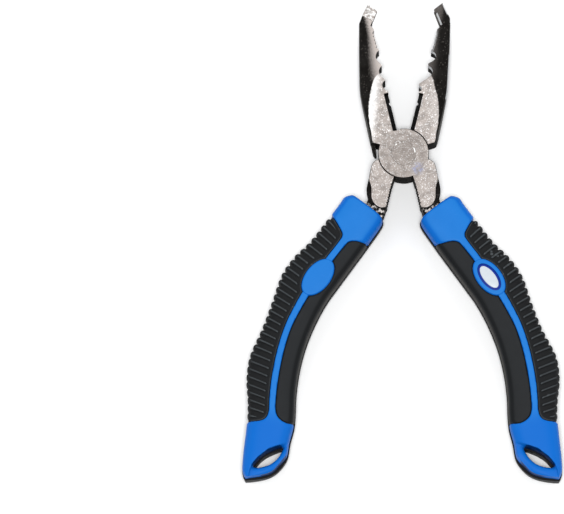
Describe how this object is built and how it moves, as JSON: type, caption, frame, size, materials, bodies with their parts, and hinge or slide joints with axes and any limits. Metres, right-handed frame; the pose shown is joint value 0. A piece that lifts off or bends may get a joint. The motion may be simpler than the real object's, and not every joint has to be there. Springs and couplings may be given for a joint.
{
  "type": "fishing pliers",
  "caption": "Long-nosed split-ring fishing pliers with crimping notches, side cutters and two-tone plastic handles with ribbed grips and lanyard loops.",
  "frame": {"origin": "centre of the bottom of the bounding box at rest, with the tool lying open on the backs of its handles", "axes": "+Y towards the jaws along the centreline, +X to the right seen from the badge side, +Z out of the front face"},
  "size_m": [0.1278, 0.1965, 0.0148],
  "materials": {
    "ground_steel": "forged dark sides, ground bright joint faces",
    "rivet_steel": "ground flush with the joint",
    "blue_plastic": "satin moulded",
    "black_plastic": "matte moulded",
    "black_rubber": "fine matte grain",
    "badge_blue": "gloss",
    "badge_white": "gloss, plain"
  },
  "bodies": {
    "right_handle_side": {"front_lever": "ground_steel", "pivot_rivet": "rivet_steel", "right_front_shell": "blue_plastic", "right_back_shell": "black_plastic", "right_ribbed_grip": "black_rubber", "right_inner_pad": "black_rubber", "badge_base": "badge_blue", "badge_plate": "badge_white"},
    "left_handle_side": {"rear_lever": "ground_steel", "left_front_shell": "blue_plastic", "left_back_shell": "black_plastic", "left_ribbed_grip": "black_rubber", "left_inner_pad": "black_rubber"}
  },
  "joints": [
    {"name": "pivot", "type": "hinge", "parent": "right_handle_side", "child": "left_handle_side", "pos_m": [0, 0.0352, 0.00725], "axis": [0, 0, 1], "range_deg": [-12, 27]}
  ]
}
